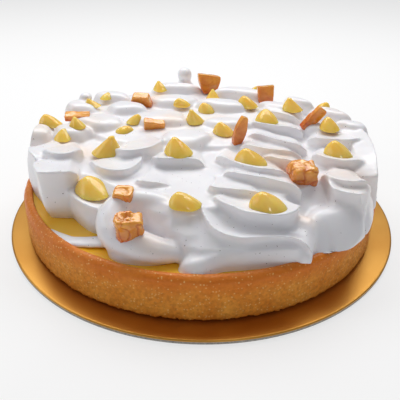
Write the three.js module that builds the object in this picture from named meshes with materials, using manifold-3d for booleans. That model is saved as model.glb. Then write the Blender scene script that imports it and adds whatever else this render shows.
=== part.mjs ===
// Lemon meringue tart on its round cake board: short crust cup, lemon filling,
// piped meringue, dots of lemon curd and cubes of candied orange peel.
// Millimetres, +Z up, origin under the middle of the board.

import * as THREE from "three";
import { mergeVertices } from "three/addons/utils/BufferGeometryUtils.js";
import Module from "manifold-3d";

const wasm = await Module();
wasm.setup();

// Driving dimensions
const GAP = 0.3;
const BOARD_RADIUS = 130;
const BOARD_THICKNESS = 3;
const BOARD_SIDES = 72;
const CRUST_X = -1.4;
const CRUST_RADIUS = 117;
const CRUST_HEIGHT = 28;
const CRUST_WALL = 5.6;
const CRUST_FLOOR = 4.5;
const CRUST_SIDES = 60;
const CRAG = 0.45;
const FILLING_BELOW_RIM = 2.6;
const CORE_RADIUS = 112;
const CORE_SIDES = 30;
const WALL_SIDES = 40;
const OUTLINE_POINTS = 12;
const END_FALL = 3;

const CRUST_BOTTOM = BOARD_THICKNESS + GAP;
const RIM_TOP = CRUST_BOTTOM + CRUST_HEIGHT;
const FILLING_TOP = RIM_TOP - FILLING_BELOW_RIM;
const INNER_RADIUS = CRUST_RADIUS - CRUST_WALL;
const MERINGUE_BOTTOM = FILLING_TOP + GAP;
const PIPED_FROM = MERINGUE_BOTTOM - 3;

// Where the core is drawn in behind the loop and behind the long front strokes:
// middle and half width in degrees
const LOOP_NOTCH = [236, 30];
const FRONT_NOTCH = [292, 48];
// The core: height, share of its radius, depth of the two notches
const CORE = [
  [PIPED_FROM, 1, 26, 8],
  [40, 1, 26, 8],
  [44, 0.99, 26, 15],
  [49, 0.97, 26, 24],
  [53, 0.88, 22, 18],
];

// Soft mounds of the middle and the back, where the strokes were patted down:
// middle x, middle y, height, half length, half depth, turn in degrees
const MOUNDS = [
  [-88, 5, 61.5, 13, 10, -8],
  [-112, 5, 61, 10, 12, -40],
  [-72, 21, 62.5, 18, 13, -12],
  [-92, 48, 63, 14, 9, -28],
  [-57, 46, 63.5, 15, 11, -10],
  [-31, 28, 63, 21, 15, 0],
  [-24, 62, 64, 20, 11, -4],
  [-23, 89, 65.5, 19, 8, 2],
  [30, 79, 65.5, 22, 9, -8],
  [14, 53, 64.5, 19, 9, -10],
  [17, 20, 62.5, 19, 9, -8],
  [-71, 70, 63.5, 15, 8, -16],
  [57, 51, 63.5, 17, 8, -28],
  [72, 62, 64, 12, 6, -32],
  [92, 40, 63.5, 15, 8, -22],
  [103, 18, 62.5, 12, 7, -20],
  [-11, -4, 62, 17, 14, 15],
  [81, 14, 62, 14, 8, -18],
];
// Share of a mound's half widths, drop below its top
const MOUND_PROFILE = [
  [0.85, 15],
  [1.1, 10],
  [0.99, 4.5],
  [0.76, 1.2],
  [0.4, 0.1],
];

// The crisper strokes, column by column: where the stroke was dragged to in degrees, its
// length, the fall of its back, how its face runs to the foot (1 straight, more hollow,
// less bulging), the dish behind the lip, the hollow below it, then x, y, height and
// outward spread of the foot along the lip from left to right
const CRESTS = [
  // outermost left
  [80, 24, 0.16, 3, 0.9, 1.2, [
    [-99, -41, 60, -2], [-98, -51, 61, -4], [-95, -58, 61.5, -6], [-92, -62, 61.5, -6],
    [-85, -62, 61.5, -5], [-77, -61, 61.5, -4], [-71, -56, 60, -3],
  ]],
  [85, 22, 0.18, 0.8, 0.4, 0, [
    [-99, -28, 61, 4], [-93, -36, 62, 4], [-85, -40, 62.5, 4], [-78, -37, 62.5, 4],
    [-74, -27, 62, 4],
  ]],
  [50, 22, 0.12, 2, 0.9, 1, [
    [-113, -22, 60.5, 0], [-107, -31, 60.5, 0], [-103, -36, 60, 0], [-99, -41, 59, 0],
  ]],
  // left of the middle
  [50, 26, 0.1, 2, 0.9, 1, [
    [-82, -46, 50, -2], [-80, -56, 49, -3], [-73, -66, 48.5, -3], [-64, -74, 48, -2],
    [-57, -77, 47.5, -2], [-52, -78, 47, -2],
  ]],
  [92, 24, 0.16, 1.3, 0.9, 1.4, [
    [-69, -34, 57.5, 3], [-63, -46, 58.5, 3], [-55, -52, 59, 3], [-47, -53, 59, 3],
    [-41, -49, 59, 3], [-37, -39, 58.5, 3], [-37, -27, 58, 3],
  ]],
  [95, 24, 0.2, 0.9, 0.5, 0.6, [
    [-56, -25, 61, 4], [-49, -32, 62, 4], [-41, -31, 62, 4], [-33, -27, 62, 4],
    [-27, -18, 61.5, 4], [-25, -7, 61, 4],
  ]],
  // middle
  [90, 26, 0.12, 1.3, 0.9, 1, [
    [-39, -58, 56, 3], [-35, -62, 57, 3], [-29, -63, 57, 5], [-22, -62, 55.5, 9],
    [-15, -61, 53, 12],
  ]],
  [95, 24, 0.2, 1.3, 0.6, 0.6, [
    [-32, -32, 59, 3], [-28, -38, 60, 3], [-21, -39, 60.5, 3], [-12, -38, 60.5, 4],
    [-4, -38, 59.5, 6], [2, -38, 57, 8],
  ]],
  // right of the middle
  [75, 22, -0.04, 1.2, 2.4, 3.2, [
    [1, -79, 55, 12], [0, -85, 53.5, 15], [3, -93, 51, 17], [7, -98, 49, 12], [14, -101, 47.5, 6],
    [22, -102, 47, 4], [31, -101, 47, 3], [40, -100, 46.7, 2], [48, -100, 45.5, 1],
    [52, -102, 44.5, 0], [56, -104, 42, -3],
  ]],
  [95, 15, -0.55, 0.7, 1.2, 0, [
    [-11, -104, 33, 3], [-7, -108, 35, 4], [-1, -109, 36.5, 4.5], [6, -106, 38, 4],
    [13, -104, 38.5, 3.5], [23, -103, 39, 3], [35, -102, 39.5, 2], [47, -101, 39.5, 1],
    [55, -99, 37, 0],
  ]],
  [100, 24, 0.12, 1.4, 0.9, 2, [
    [5, -75, 57, 2], [9, -82, 57, 3], [14, -86, 56.5, 3], [22, -91, 56, 3], [32, -94, 56, 3.5],
    [41, -94, 56, 4], [49, -89, 56, 5], [53, -81, 56, 4],
  ]],
  [105, 22, 0.22, 1.4, 0.8, 1.4, [
    [3, -67, 59, 4], [6, -71, 59, 4], [16, -73, 59, 4], [26, -74, 58.5, 4], [35, -75, 57, 4],
  ]],
  [105, 22, 0.24, 1.4, 0.8, 1.4, [
    [12, -52, 60, 4], [20, -57, 60.5, 4], [29, -60, 60.5, 4], [39, -63, 60, 4], [47, -66, 59.5, 4],
    [55, -70, 58.5, 4],
  ]],
  [105, 22, 0.24, 1.4, 0.8, 1.4, [
    [8, -30, 60, 4], [14, -39, 61, 4], [22, -47, 61.5, 4], [31, -52, 61.5, 4], [41, -53, 61, 4],
    [51, -54, 59.5, 4],
  ]],
  [105, 20, 0.24, 1.4, 0.8, 1.4, [
    [36, -32, 61, 4], [44, -38, 61.5, 4], [53, -42, 61.5, 4], [61, -45, 60, 4],
  ]],
  [105, 20, 0.24, 1.4, 0.8, 1.4, [
    [24, -16, 61.5, 4], [32, -23, 62, 4], [41, -27, 62, 4], [51, -29, 62, 4], [61, -30, 60.5, 4],
  ]],
  [105, 20, 0.24, 1.4, 0.8, 1.4, [
    [30, 0, 62, 4], [38, -6, 62.5, 4], [47, -13, 62.5, 4], [57, -17, 62, 4], [66, -21, 60.5, 4],
  ]],
  [100, 22, 0.24, 1.4, 0.8, 1.4, [
    [30, 21, 62, 4], [37, 14, 63, 4], [48, 10, 63, 4], [59, 8, 62.5, 4], [68, 6, 61.5, 4],
  ]],
  [100, 22, 0.22, 1.2, 0.6, 1, [
    [40, 43, 63, 4], [48, 36, 63.5, 4], [58, 30, 63.5, 4], [69, 25, 62, 4],
  ]],
  // outermost right
  [110, 20, 0.3, 0.6, 0, 0, [
    [54, -83, 41, 9], [59, -81, 45, 15.5], [64, -77, 47, 18.5], [71, -74, 48, 20],
    [78, -71, 48.5, 19], [84, -68, 49, 17], [89, -66, 49.5, 12], [92, -66, 49.5, 8],
    [98, -55, 49.5, 6],
  ]],
  [80, 20, 0.1, 1.6, 0.9, 2, [
    [70, -51, 57, 3], [71, -59, 57.5, 4], [72, -67, 57.5, 4], [76, -70, 57, 4], [81, -72, 57, 3],
    [86, -73, 56.5, 2], [89, -76, 55, 1],
  ]],
  [90, 22, 0.18, 1.4, 0.8, 1.4, [
    [69, -51, 59, 4], [73, -59, 59.5, 4], [79, -63, 60, 4], [85, -64, 60, 4], [94, -60, 60, 4],
  ]],
  [95, 22, 0.18, 1.4, 0.8, 1.4, [
    [68, -26, 60, 4], [72, -34, 61, 4], [79, -38, 61, 4], [88, -40, 61, 4], [99, -34, 60.5, 4],
  ]],
  [95, 20, 0.22, 1.4, 0.8, 1.4, [
    [69, -3, 61, 4], [75, -9, 62, 4], [85, -10, 62, 4], [96, -10, 62, 4], [107, -4, 61.5, 4],
  ]],
  [180, 13, 0.15, 1, 0.3, 0, [
    [104, -46, 57, 3], [107.5, -25, 60, 2], [109.5, -5, 60.5, 2], [108.5, 14, 60, 2],
    [104, 32, 58, 2],
  ]],
];
const FACE_SHARES = [1, 0.6, 0.35, 0.12];
const BACK_SHARES = [0.15, 0.4, 1];

// The low bed under the middle and the back: height, middle x, middle y, half length,
// half depth
const BACK_BED = [
  [PIPED_FROM, -8, 42, 84, 54],
  [50, -8, 42, 84, 54],
  [56, -8, 42, 78, 48],
  [57.5, -8, 42, 60, 36],
];

// The loop at the front left: a low bed and a stroke curled round it
const LOOP_BED = [
  [PIPED_FROM, -31, -88, 19, 13],
  [31, -31, -88, 20, 13],
  [34, -31, -87, 18, 11],
  [35.5, -31, -86, 14, 9],
];
const LOOP_STROKE = [
  [-8, -97, 32, 4],
  [-18, -98, 34, 6.5],
  [-27, -97, 35, 8],
  [-36, -94, 36, 9],
  [-46, -88, 38, 9],
  [-49, -80.5, 42.5, 8.5],
  [-45, -73, 46.5, 7.5],
  [-35, -70.5, 48.8, 6.5],
  [-24, -73.5, 48.8, 6],
  [-14, -79, 46.5, 5.5],
  [-4, -85, 40, 5],
];

// A thin smear left on the filling beside the loop: x, y, z, half width along it
const SMEAR = [
  [-87, -71, 29.4, 1.2],
  [-78, -79.5, 29.6, 3.2],
  [-69, -84, 29.7, 4.4],
  [-47, -84, 30.5, 6],
];
const SMEAR_FLATNESS = 0.35;

// The outer wall of the meringue: height, radius
const WALL = [
  [MERINGUE_BOTTOM, 113.5],
  [36, 115.5],
  [48, 115.2],
  [60, 112],
  [80, 104],
];

// Where it leans out over the rim: middle of the stretch and half its width in degrees,
// how far, and the heights below which it is full and above which there is none
const OVERHANG = [-47, 16, 6, 32, 50];

// Small peaks pulled up at the back: x, y, z of the foot, radius, height
const PEAKS = [
  [-16, 101, 60, 6, 14.5],
  [-89, 57, 58, 5, 9],
];

// Dots of lemon curd: x, y, z of the foot, width, height
const CURD_DROPS = [
  [-105, 15, 56.5, 15, 9, 170],
  [-84, 5, 59.5, 11, 8, 150],
  [-92, -4, 55.1, 13, 7, 90],
  [-83, 49, 58.3, 12, 7, 180],
  [-75, 65, 59.4, 10, 5, 60],
  [-35, 83, 60.4, 12, 8, 120],
  [-48, 21, 57.2, 11, 7, 20],
  [-54, 9, 55.6, 12, 5, 0],
  [-60, -23, 52.7, 18, 14, 10],
  [-16, 52, 59, 12, 7, 200],
  [7, 70, 58.6, 11, 8, 90],
  [3, 47, 56.4, 13, 8, 180],
  [-6, 24, 56.3, 13, 11, 170],
  [40, 81, 60.6, 9, 6, 0],
  [33, 54, 58.2, 15, 9, 150],
  [14, 6, 56.1, 14, 9, 150],
  [44, 20.5, 59.6, 17, 9, 100],
  [65, 44, 59.6, 15, 10, 140],
  [89, 49, 60.5, 9, 5, 0],
  [85, 8, 59.6, 14, 9, 110],
  [84, -27, 56.7, 17, 10, 140],
  [29, -40, 56.5, 19, 10, 150],
  [-15, -30, 57.5, 18, 11, 130],
  [35, -85, 52.7, 19, 10, 160],
  [-9, -81, 51.6, 17, 8, 160],
  [-62, -60, 46.2, 21, 10, 135],
];
const DROP_SIDES = 8;
// Shares of a dot's size: its buried foot, the height where it is widest, its lean
const DROP_FOOT = 0.6;
const DROP_FULL = 0.28;
const DROP_LEAN = 0.42;

// Cubes and strips of candied peel: middle x, y, z, then length, width, height,
// then turns about Z, Y and X in degrees
const PEELS = [
  [-37.5, -95, 47.5, 13.5, 11, 14, 20, 10, 15],
  [-43, -72, 52.5, 11.5, 9, 8, -10, 0, 10],
  [-34, 14, 58, 14, 6, 11, 15, 12, 20],
  [-47, 56, 62, 15, 7, 10, -8, 0, 15],
  [-88, 23, 61.5, 17, 8, 4, 4, 0, 8],
  [4, 89, 65, 16, 6, 15, 12, 10, -5],
  [48, 69, 63.7, 12, 4.5, 14, 5, -4, -8],
  [24, -6, 64, 8, 4, 20, 20, 22, -5],
  [75, 16, 65, 7, 5, 19, 10, 42, 0],
  [58, -52, 57.5, 16, 13, 12, 12, 5, 10],
];

const group = new THREE.Group();
group.name = "lemon_meringue_tart";

// Repeatable number from 0 to 1 for a whole number
function chance(seed) {
  const value = Math.sin(seed * 12.9898 + 4.1414) * 43758.5453;
  return value - Math.floor(value);
}

function weld(geometry) {
  geometry.deleteAttribute("normal");
  geometry.deleteAttribute("uv");
  const welded = mergeVertices(geometry, 0.0005);
  welded.computeVertexNormals();
  return welded;
}

function toSolid(geometry) {
  const vertProperties = new Float32Array(geometry.attributes.position.array);
  const triVerts = new Uint32Array(geometry.index.array);
  return new wasm.Manifold(new wasm.Mesh({ numProp: 3, vertProperties, triVerts }));
}

function toGeometry(solid) {
  const mesh = solid.getMesh();
  const geometry = new THREE.BufferGeometry();
  geometry.setAttribute("position", new THREE.BufferAttribute(mesh.vertProperties, 3));
  geometry.setIndex(new THREE.BufferAttribute(mesh.triVerts, 1));
  geometry.computeVertexNormals();
  return geometry;
}

function addPart(name, geometry, colour, roughness, metalness = 0) {
  const material = new THREE.MeshStandardMaterial({ color: colour, roughness, metalness });
  material.name = name + "_surface";
  const mesh = new THREE.Mesh(geometry, material);
  mesh.name = name;
  group.add(mesh);
}

// Closed skin over a stack of rings, capped by a middle point at each end
function stack(rings) {
  const count = rings[0].length;
  const middle = (ring) => {
    const sum = ring.reduce((total, point) => total.add(point), new THREE.Vector3());
    return sum.divideScalar(count);
  };
  const points = [...rings.flat(), middle(rings[0]), middle(rings[rings.length - 1])];
  const first = points.length - 2;
  const last = points.length - 1;
  const topRing = (rings.length - 1) * count;
  const index = [];
  for (let k = 0; k < count; k += 1) {
    const next = (k + 1) % count;
    for (let row = 0; row < topRing; row += count) {
      index.push(row + k, row + next, row + next + count);
      index.push(row + k, row + next + count, row + k + count);
    }
    index.push(first, next, k);
    index.push(last, topRing + k, topRing + next);
  }
  const geometry = new THREE.BufferGeometry().setFromPoints(points);
  geometry.setIndex(index);
  geometry.computeVertexNormals();
  return geometry;
}

// One stroke by the line of its lip: a dished back behind it and a face running down
// from it to the foot, rounded off at both ends
function crestSolid([drag, back, slope, bend, dish, hollow, line]) {
  const angle = THREE.MathUtils.degToRad(drag);
  const behind = new THREE.Vector3(Math.cos(angle), Math.sin(angle), 0);
  const path = line.map((point) => new THREE.Vector3(...point));
  const lip = new THREE.CatmullRomCurve3(path, false, "catmullrom", 0.5);
  const last = Math.max(line.length, 4) - 1;
  const rings = [];
  for (let i = 0; i <= last; i += 1) {
    const t = i / last;
    const { x, y, z } = lip.getPoint(t);
    const tangent = lip.getTangent(t);
    const out = new THREE.Vector3(tangent.y, -tangent.x, 0).normalize();
    const span = t * (line.length - 1);
    const from = Math.min(Math.floor(span), line.length - 2);
    const spread = THREE.MathUtils.lerp(line[from][3], line[from + 1][3], span - from);
    const lipZ = i === 0 || i === last ? z - END_FALL : z;
    const at = (toFront, toBack, drop) => {
      const point = new THREE.Vector3(x, y, lipZ - drop);
      return point.addScaledVector(out, toFront).addScaledVector(behind, toBack);
    };
    const face = FACE_SHARES.map((share) => {
      const cave = hollow * Math.sin(Math.PI * Math.min(Math.max(share - 0.05, 0) / 0.5, 1));
      return at(spread * share ** bend - cave, 0, (lipZ - PIPED_FROM) * share);
    });
    const top = BACK_SHARES.map((share) => {
      const sink = dish * Math.sin(Math.PI * Math.min(share * 1.3, 1));
      return at(0, back * share, slope * back * share + sink);
    });
    rings.unshift([...face, at(0, 0, 0), ...top, at(0, back, lipZ - PIPED_FROM)]);
  }
  return toSolid(stack(rings));
}

// A soft mound: a rounded cushion with a slightly lopsided top
function moundSolid([x, y, top, half, depth, turn], seed) {
  const angle = THREE.MathUtils.degToRad(turn);
  return toSolid(stack(MOUND_PROFILE.map(([grow, drop]) => {
    const ring = [];
    for (let k = 0; k < OUTLINE_POINTS; k += 1) {
      const around = (k / OUTLINE_POINTS) * Math.PI * 2;
      const wave = 1 + 0.07 * Math.sin(3 * around + 2 * seed) + 0.04 * Math.sin(5 * around + seed);
      const u = half * grow * wave * Math.cos(around);
      const v = depth * grow * wave * Math.sin(around);
      const px = x + u * Math.cos(angle) - v * Math.sin(angle);
      const py = y + u * Math.sin(angle) + v * Math.cos(angle);
      const tilt = 0.05 * v + 0.03 * u * Math.sin(seed);
      ring.push(new THREE.Vector3(px, py, top - drop - tilt));
    }
    return ring;
  })));
}

// A low bed from oval rings given one by one
function bedSolid(rows) {
  return toSolid(stack(rows.map(([z, x, y, half, depth]) => {
    const ring = [];
    for (let k = 0; k < OUTLINE_POINTS * 2; k += 1) {
      const a = (k / OUTLINE_POINTS) * Math.PI;
      ring.push(new THREE.Vector3(x + half * Math.cos(a), y + depth * Math.sin(a), z));
    }
    return ring;
  })));
}

// A rope of meringue along a smooth path: points are x, y, z, radius
function ropeSolid(stations, sides, steps, flatness = 1) {
  const path = new THREE.CatmullRomCurve3(
    stations.map(([x, y, z]) => new THREE.Vector3(x, y, z)),
  );
  const rings = [];
  for (let i = 0; i <= steps; i += 1) {
    const t = i / steps;
    const centre = path.getPoint(t);
    const ahead = path.getTangent(t);
    const side = new THREE.Vector3(-ahead.y, ahead.x, 0).normalize();
    const up = new THREE.Vector3().crossVectors(ahead, side).normalize();
    const span = t * (stations.length - 1);
    const from = Math.min(Math.floor(span), stations.length - 2);
    const radius = THREE.MathUtils.lerp(stations[from][3], stations[from + 1][3], span - from);
    const ring = [];
    for (let k = 0; k < sides; k += 1) {
      const a = (k / sides) * Math.PI * 2;
      const point = centre.clone();
      point.addScaledVector(side, radius * Math.cos(a));
      point.addScaledVector(up, radius * flatness * Math.sin(a));
      ring.push(point);
    }
    rings.push(ring);
  }
  return toSolid(stack(rings));
}

// A turned shape from a closed-to-axis profile of [radius, height]
function turned(profile, sides) {
  const points = profile.map(([r, z]) => new THREE.Vector2(r, z));
  const geometry = new THREE.LatheGeometry(points, sides);
  geometry.rotateX(Math.PI / 2);
  return weld(geometry);
}

// A dot of curd: narrow under the surface, full above it, its top drawn to one side
function leaned(geometry, [x, y, foot, width, height, lean]) {
  const angle = THREE.MathUtils.degToRad(lean);
  const points = geometry.attributes.position;
  for (let i = 0; i < points.count; i += 1) {
    const above = Math.max(points.getZ(i) / height - DROP_FULL, 0) / (1 - DROP_FULL);
    const shift = (DROP_LEAN * width * above) / 2;
    points.setX(i, points.getX(i) + shift * Math.cos(angle));
    points.setY(i, points.getY(i) + shift * Math.sin(angle));
  }
  geometry.translate(x, y, foot);
  return geometry;
}

function dropGeometry(drop) {
  const [, , , width, height] = drop;
  const radius = width / 2;
  const dot = turned([
    [0, 0],
    [radius * DROP_FOOT, 0],
    [radius, height * DROP_FULL],
    [radius * 0.72, height * 0.7],
    [0, height],
  ], DROP_SIDES);
  return leaned(dot, drop);
}

// The hollow that a dot of curd sits in
function dropRoom(drop) {
  const [, , , width, height] = drop;
  const radius = width / 2 + GAP * 1.3;
  const room = turned([
    [0, -GAP],
    [radius * DROP_FOOT + GAP, -GAP],
    [radius, height * DROP_FULL - GAP],
    [radius, height * 0.62],
    [0, height + GAP * 2],
  ], DROP_SIDES);
  return toSolid(leaned(room, drop));
}

// A candied cube with uneven sides; room grows it to the hollow that it sits in
function peelGeometry([x, y, z, length, width, height, turn, lean, tip], seed, room) {
  const sizes = [length, width, height];
  const box = new THREE.BoxGeometry(length, width, height, 2, 2, 2);
  const geometry = weld(box);
  const points = geometry.attributes.position;
  for (let i = 0; i < points.count; i += 1) {
    const axes = [points.getX(i), points.getY(i), points.getZ(i)];
    const outer = axes.filter((value, k) => Math.abs(value) > sizes[k] * 0.4).length;
    const pull = 1 - 0.06 * (outer - 1) - 0.14 * chance(seed * 31 + i);
    const moved = axes.map((value, k) => value * pull * (1 + (2 * room) / sizes[k]));
    points.setXYZ(i, moved[0], moved[1], moved[2]);
  }
  const degrees = [tip, lean, turn].map((value) => THREE.MathUtils.degToRad(value));
  geometry.applyMatrix4(new THREE.Matrix4().makeRotationFromEuler(
    new THREE.Euler(degrees[0], degrees[1], degrees[2], "ZYX"),
  ));
  geometry.translate(x, y, z);
  geometry.computeVertexNormals();
  return geometry;
}

// Cake board
const board = new THREE.CylinderGeometry(BOARD_RADIUS, BOARD_RADIUS, BOARD_THICKNESS, BOARD_SIDES);
board.rotateX(Math.PI / 2);
board.translate(0, 0, BOARD_THICKNESS / 2);
addPart("cake_board", weld(board), 0xb8862f, 0.28, 0.85);

// Crust cup with a rounded rim and a ragged foot
const crust = turned([
  [0, CRUST_BOTTOM],
  [CRUST_RADIUS - 3, CRUST_BOTTOM],
  [CRUST_RADIUS - 0.6, CRUST_BOTTOM + 1],
  [CRUST_RADIUS, CRUST_BOTTOM + 3.5],
  [CRUST_RADIUS, CRUST_BOTTOM + 10],
  [CRUST_RADIUS, CRUST_BOTTOM + 17],
  [CRUST_RADIUS - 0.1, RIM_TOP - 3.5],
  [CRUST_RADIUS - 1, RIM_TOP - 1],
  [CRUST_RADIUS - 2.6, RIM_TOP],
  [INNER_RADIUS + 0.9, RIM_TOP - 0.3],
  [INNER_RADIUS, RIM_TOP - 1.2],
  [INNER_RADIUS, CRUST_BOTTOM + CRUST_FLOOR],
  [0, CRUST_BOTTOM + CRUST_FLOOR],
], CRUST_SIDES);
const crustPoints = crust.attributes.position;
for (let i = 0; i < crustPoints.count; i += 1) {
  const x = crustPoints.getX(i);
  const y = crustPoints.getY(i);
  const z = crustPoints.getZ(i);
  const radius = Math.hypot(x, y);
  if (radius > INNER_RADIUS + 0.5 && z < RIM_TOP - 2) {
    const foot = z < CRUST_BOTTOM + 4 ? 2 : 1;
    const push = 1 + (CRAG * foot * (chance(i) - 0.7)) / radius;
    crustPoints.setXYZ(i, x * push, y * push, z);
  }
}
crust.translate(CRUST_X, 0, 0);
crust.computeVertexNormals();
addPart("crust", crust, 0xb9762f, 0.75);

// Lemon filling, level inside the cup
const filling = turned([
  [0, CRUST_BOTTOM + CRUST_FLOOR + GAP],
  [INNER_RADIUS - GAP - 0.2, CRUST_BOTTOM + CRUST_FLOOR + GAP],
  [INNER_RADIUS - GAP - 0.2, FILLING_TOP],
  [0, FILLING_TOP],
], CRUST_SIDES);
filling.translate(CRUST_X, 0, 0);
addPart("lemon_filling", filling, 0xe2a63c, 0.3);

// Meringue: the strokes, the mounds, the loop and the thin smear joined into one body
const core = CORE.map(([z, scale, loopDepth, frontDepth]) => {
  const ring = [];
  for (let k = 0; k < CORE_SIDES; k += 1) {
    const a = (k / CORE_SIDES) * Math.PI * 2;
    const degrees = THREE.MathUtils.radToDeg(a);
    const loop = loopDepth * Math.exp(-(((degrees - LOOP_NOTCH[0]) / LOOP_NOTCH[1]) ** 4));
    const front = frontDepth * Math.exp(-(((degrees - FRONT_NOTCH[0]) / FRONT_NOTCH[1]) ** 4));
    const radius = scale * (CORE_RADIUS - Math.max(loop, front));
    ring.push(new THREE.Vector3(radius * Math.cos(a), radius * Math.sin(a), z));
  }
  return ring;
});
let meringue = toSolid(stack(core));
meringue = meringue.add(bedSolid(BACK_BED));
MOUNDS.forEach((mound, i) => {
  meringue = meringue.add(moundSolid(mound, i));
});
CRESTS.forEach((crest) => {
  meringue = meringue.add(crestSolid(crest));
});
meringue = meringue.add(bedSolid(LOOP_BED));
meringue = meringue.add(ropeSolid(LOOP_STROKE, 10, 12));
meringue = meringue.add(ropeSolid(SMEAR, 8, 6, SMEAR_FLATNESS));
PEAKS.forEach(([x, y, foot, radius, height]) => {
  const peak = turned([
    [0, 0],
    [radius * 1.3, 0],
    [radius * 0.8, height * 0.3],
    [radius, height * 0.6],
    [radius * 0.7, height * 0.9],
    [0, height],
  ], 10);
  peak.translate(x, y, foot);
  meringue = meringue.add(toSolid(peak));
});
const [middle, halfWidth, most, full, none] = OVERHANG;
const wall = WALL.map(([z, radius]) => {
  const ring = [];
  for (let k = 0; k < WALL_SIDES; k += 1) {
    const a = (k / WALL_SIDES) * Math.PI * 2;
    const degrees = THREE.MathUtils.radToDeg(a) - (k > WALL_SIDES / 2 ? 360 : 0);
    const lower = THREE.MathUtils.clamp((none - z) / (none - full), 0, 1);
    const swell = lower * most * Math.exp(-(((degrees - middle) / halfWidth) ** 4));
    const behind = 1 + 1.5 * Math.max(Math.sin(a), 0);
    const bulge = radius + swell + behind * (0.8 * Math.sin(9 * a) + 0.6 * Math.sin(14 * a + 1));
    ring.push(new THREE.Vector3(bulge * Math.cos(a), bulge * Math.sin(a), z));
  }
  return ring;
});
meringue = meringue.intersect(toSolid(stack(wall)));
const rimRoom = turned([
  [INNER_RADIUS - GAP, CRUST_BOTTOM],
  [CRUST_RADIUS + 7, CRUST_BOTTOM],
  [CRUST_RADIUS + 7, RIM_TOP - 2],
  [CRUST_RADIUS + GAP, RIM_TOP - 2],
  [CRUST_RADIUS - 2, RIM_TOP + GAP],
  [INNER_RADIUS + 0.6, RIM_TOP + GAP],
  [INNER_RADIUS - GAP, RIM_TOP - 1],
  [INNER_RADIUS - GAP, CRUST_BOTTOM],
], 48);
rimRoom.translate(CRUST_X, 0, 0);
meringue = meringue.subtract(toSolid(rimRoom));
CURD_DROPS.forEach((drop) => {
  meringue = meringue.subtract(dropRoom(drop));
});
PEELS.forEach((peel, i) => {
  meringue = meringue.subtract(toSolid(peelGeometry(peel, i, GAP * 1.5)));
});

addPart("meringue", toGeometry(meringue), 0xeeeae6, 0.35);

// Curd dots and candied peel
CURD_DROPS.forEach((drop, i) => {
  const name = "curd_drop_" + String(i + 1).padStart(2, "0");
  addPart(name, dropGeometry(drop), 0xe8bc4e, 0.22);
});
PEELS.forEach((peel, i) => {
  const name = "candied_peel_" + String(i + 1).padStart(2, "0");
  addPart(name, peelGeometry(peel, i, 0), 0xc9772a, 0.3);
});

export default group;
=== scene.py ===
import math
import random

import bpy
import numpy as np
from mathutils import Euler, Matrix, Vector, noise


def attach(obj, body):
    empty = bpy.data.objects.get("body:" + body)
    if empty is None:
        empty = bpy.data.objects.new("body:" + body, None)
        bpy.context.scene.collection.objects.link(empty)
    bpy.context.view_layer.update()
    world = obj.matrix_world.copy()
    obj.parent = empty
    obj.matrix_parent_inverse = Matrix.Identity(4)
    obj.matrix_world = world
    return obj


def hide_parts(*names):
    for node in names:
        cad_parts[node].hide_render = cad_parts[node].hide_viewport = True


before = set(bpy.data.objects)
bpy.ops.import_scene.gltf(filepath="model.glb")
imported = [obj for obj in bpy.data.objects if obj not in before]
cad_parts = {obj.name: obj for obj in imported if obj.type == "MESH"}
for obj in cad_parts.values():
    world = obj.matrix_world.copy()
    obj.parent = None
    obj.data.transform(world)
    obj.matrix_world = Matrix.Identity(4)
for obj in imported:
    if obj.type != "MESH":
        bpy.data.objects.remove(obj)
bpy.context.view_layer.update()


# Camera: a little above table height, in front of the pie and close to it,
# so that the board runs nearly to both sides of a square view.
def srgb(red, green, blue):
    """Linear colour with alpha from the usual 0 to 255 values."""
    values = []
    for channel in (red, green, blue):
        part = channel / 255
        if part <= 0.04045:
            values.append(part / 12.92)
        else:
            values.append(((part + 0.055) / 1.055) ** 2.4)
    return (*values, 1.0)


VIEW_ANGLE = math.radians(42.825)
VIEW_HEIGHT = math.radians(30.3)
VIEW_DISTANCE = 0.364
VIEW_ROLL = math.radians(0.899)
VIEW_TARGET = Vector((0, 0, 0.00854))
VIEW_SHIFT = -0.0051

camera_data = bpy.data.cameras.new("view_camera")
camera_data.sensor_width = 36
camera_data.lens = 18 / math.tan(VIEW_ANGLE / 2)
camera_data.shift_x = VIEW_SHIFT
camera_data.clip_start = 0.01
camera = bpy.data.objects.new("view_camera", camera_data)
bpy.context.scene.collection.objects.link(camera)
ahead = Vector((0, math.cos(VIEW_HEIGHT), -math.sin(VIEW_HEIGHT)))
level_up = Vector((0, math.sin(VIEW_HEIGHT), math.cos(VIEW_HEIGHT)))
level_right = Vector((1, 0, 0))
right = math.cos(VIEW_ROLL) * level_right + math.sin(VIEW_ROLL) * level_up
up = math.cos(VIEW_ROLL) * level_up - math.sin(VIEW_ROLL) * level_right
turn = Matrix((right, up, -ahead)).transposed().to_4x4()
camera.matrix_world = Matrix.Translation(VIEW_TARGET - VIEW_DISTANCE * ahead) @ turn
bpy.context.scene.camera = camera
bpy.context.scene.view_settings.view_transform = "Standard"


# Light: a large soft panel over the table and a little behind the pie, so that
# the tops are bright and the fronts fall into a soft grey, in a pale room.
PIE_MIDDLE = Vector((0, 0, 0.04))


def deselect():
    """Leave edit mode and select nothing."""
    if bpy.context.mode != "OBJECT":
        bpy.ops.object.mode_set(mode="OBJECT")
    bpy.ops.object.select_all(action="DESELECT")


def add_panel(name, place, width, depth, power):
    """Area light at a place, facing the middle of the pie."""
    data = bpy.data.lights.new(name, "AREA")
    data.shape = "RECTANGLE"
    data.size = width
    data.size_y = depth
    data.energy = power
    panel = bpy.data.objects.new(name, data)
    bpy.context.scene.collection.objects.link(panel)
    panel.location = place
    panel.rotation_euler = (PIE_MIDDLE - Vector(place)).to_track_quat("-Z", "Y").to_euler()


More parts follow.
